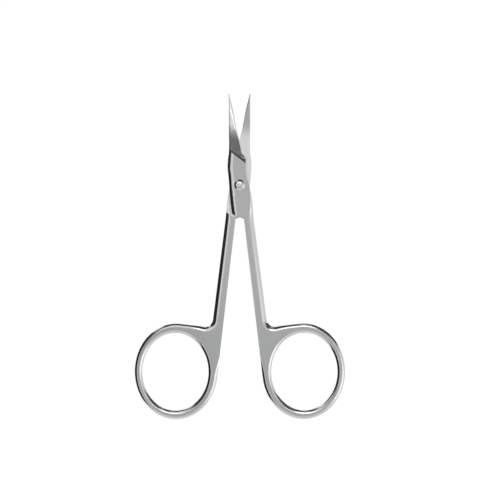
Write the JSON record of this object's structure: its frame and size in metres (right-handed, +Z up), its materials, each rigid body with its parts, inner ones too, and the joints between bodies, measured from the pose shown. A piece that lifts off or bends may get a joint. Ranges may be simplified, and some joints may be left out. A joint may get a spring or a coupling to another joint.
{
  "type": "cuticle scissors",
  "caption": "Small cuticle scissors with slim curved pointed blades, long slender shanks, rounded oval finger rings and a raised slotted pivot screw, lying open.",
  "frame": {"origin": "on the pivot axis, in the plane that the scissors rest on", "axes": "+Z up, away from the resting surface; +Y towards the blades' tips; +X to the side of the front half's finger ring"},
  "size_m": [0.0678, 0.1048, 0.0045],
  "materials": {
    "polished_steel": "polished stainless steel",
    "screw_steel": "polished stainless steel"
  },
  "bodies": {
    "rear_blade": {"rear_half": "polished_steel", "pivot_screw": "screw_steel"},
    "front_blade": {"front_half": "polished_steel"}
  },
  "joints": [
    {"name": "pivot", "type": "hinge", "parent": "rear_blade", "child": "front_blade", "pos_m": [0, 0, 0.0016], "axis": [0, 0, 1], "range_deg": [-13.4, 86.6]}
  ]
}
